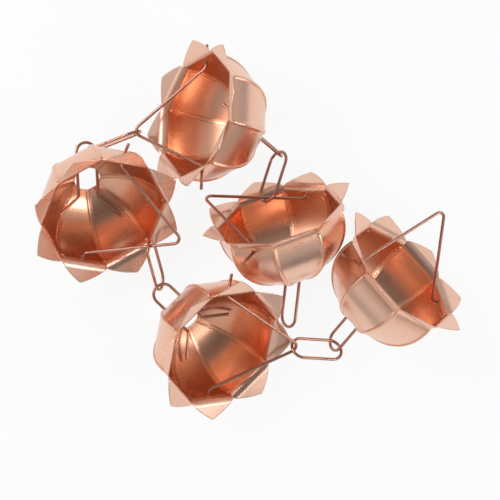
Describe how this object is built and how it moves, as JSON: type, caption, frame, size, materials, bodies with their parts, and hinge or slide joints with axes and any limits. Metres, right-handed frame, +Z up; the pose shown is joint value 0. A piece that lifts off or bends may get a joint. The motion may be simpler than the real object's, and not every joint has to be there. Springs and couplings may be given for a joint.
{
  "type": "rain chain",
  "caption": "Rain chain of flared petal cups, joined by wire bails, bottom loops and oblong links, lying in a loose loop.",
  "frame": {"origin": "on the surface the chain lies on, below the middle of its box", "axes": "+Z up from the surface, +X and +Y along the surface"},
  "size_m": [0.3418, 0.3052, 0.1134],
  "materials": {
    "copper_sheet": "satin polished",
    "copper_wire": "satin"
  },
  "bodies": {
    "cup_5": {"cup_5": "copper_sheet"},
    "bail_5": {"bail_5": "copper_wire"},
    "loop_5": {"loop_5": "copper_wire"},
    "link_4": {"link_4": "copper_wire"},
    "cup_4": {"cup_4": "copper_sheet"},
    "bail_4": {"bail_4": "copper_wire"},
    "loop_4": {"loop_4": "copper_wire"},
    "link_2": {"link_2": "copper_wire"},
    "cup_2": {"cup_2": "copper_sheet"},
    "bail_2": {"bail_2": "copper_wire"},
    "loop_2": {"loop_2": "copper_wire"},
    "link_1": {"link_1": "copper_wire"},
    "cup_1": {"cup_1": "copper_sheet"},
    "bail_1": {"bail_1": "copper_wire"},
    "loop_1": {"loop_1": "copper_wire"},
    "link_3": {"link_3": "copper_wire"},
    "cup_3": {"cup_3": "copper_sheet"},
    "bail_3": {"bail_3": "copper_wire"},
    "loop_3": {"loop_3": "copper_wire"}
  },
  "joints": [
    {"name": "bail_5_swing", "type": "hinge", "parent": "cup_5", "child": "bail_5", "pos_m": [0.11686, -0.04129, 0.05082], "axis": [0.7144, -0.3533, -0.6039], "range_deg": [-50, 90]},
    {"name": "loop_5_swing", "type": "hinge", "parent": "loop_5", "child": "cup_5", "pos_m": [0.08691, -0.06872, 0.03145], "axis": [0.3016, -0.7472, 0.5921], "range_deg": [-41, 0]},
    {"name": "bail_4_swing", "type": "hinge", "parent": "cup_4", "child": "bail_4", "pos_m": [-0.02578, -0.09057, 0.05094], "axis": [-0.1839, -0.8901, -0.4169], "range_deg": [0, 138]},
    {"name": "loop_4_swing", "type": "hinge", "parent": "loop_4", "child": "cup_4", "pos_m": [-0.05012, -0.07051, 0.01884], "axis": [0.6859, 0.7246, -0.0672], "range_deg": [0, 10]},
    {"name": "bail_2_swing", "type": "hinge", "parent": "cup_2", "child": "bail_2", "pos_m": [-0.1182, 0.01673, 0.04965], "axis": [0.3555, 0.8271, 0.4353], "range_deg": [-125, 0]},
    {"name": "loop_2_swing", "type": "hinge", "parent": "cup_2", "child": "loop_2", "pos_m": [-0.13142, 0.04108, 0.01418], "axis": [-0.9445, -0.0377, 0.3263], "range_deg": [0, 90]},
    {"name": "bail_1_swing", "type": "hinge", "parent": "bail_1", "child": "cup_1", "pos_m": [-0.03653, 0.09052, 0.05249], "axis": [-0.0328, -0.9423, 0.3332], "range_deg": [0, 88]},
    {"name": "loop_1_swing", "type": "hinge", "parent": "cup_1", "child": "loop_1", "pos_m": [0.00062, 0.08091, 0.02898], "axis": [-0.3968, 0.4389, -0.8062], "range_deg": [-2, 0]},
    {"name": "bail_3_swing", "type": "hinge", "parent": "bail_3", "child": "cup_3", "pos_m": [0.02424, 0.0046, 0.05162], "axis": [-0.4602, -0.4869, 0.7424], "range_deg": [0, 29]},
    {"name": "loop_3_swing", "type": "hinge", "parent": "cup_3", "child": "loop_3", "pos_m": [0.03514, -0.0347, 0.0326], "axis": [-0.626, 0.1921, -0.7558], "range_deg": [-77, 4]},
    {"name": "link_4_on_loop", "type": "hinge", "parent": "link_4", "child": "loop_5", "pos_m": [0.07052, -0.09712, 0.01662], "axis": [-0.6075, -0.2757, -0.7449], "range_deg": [0, 90]},
    {"name": "link_4_on_bail", "type": "hinge", "parent": "bail_4", "child": "link_4", "pos_m": [0.03694, -0.09478, 0.03019], "axis": [-0.3435, -0.8682, -0.3582], "range_deg": [-5, 29]},
    {"name": "link_2_on_loop", "type": "hinge", "parent": "link_2", "child": "loop_4", "pos_m": [-0.07206, -0.04397, 0.0236], "axis": [-0.9393, -0.3186, 0.1273], "range_deg": [-18, 0]},
    {"name": "link_2_on_bail", "type": "hinge", "parent": "bail_2", "child": "link_2", "pos_m": [-0.08005, -0.01309, 0.04194], "axis": [-0.9754, -0.0976, -0.1977], "range_deg": [0, 33]},
    {"name": "link_1_on_loop", "type": "hinge", "parent": "loop_2", "child": "link_1", "pos_m": [-0.12542, 0.06587, 0.01065], "axis": [-0.3718, 0.9255, 0.0726], "range_deg": [0, 90]},
    {"name": "link_1_on_bail", "type": "hinge", "parent": "link_1", "child": "bail_1", "pos_m": [-0.09181, 0.07877, 0.01831], "axis": [-0.219, 0.8523, -0.475], "range_deg": [-17, 0]},
    {"name": "link_3_on_loop", "type": "hinge", "parent": "loop_1", "child": "link_3", "pos_m": [0.02448, 0.06053, 0.01569], "axis": [0.4439, -0.3217, -0.8363], "range_deg": [0, 2]},
    {"name": "link_3_on_bail", "type": "hinge", "parent": "link_3", "child": "bail_3", "pos_m": [0.01334, 0.02622, 0.02297], "axis": [0.995, -0.0302, -0.0948], "range_deg": [-50, 0]}
  ]
}
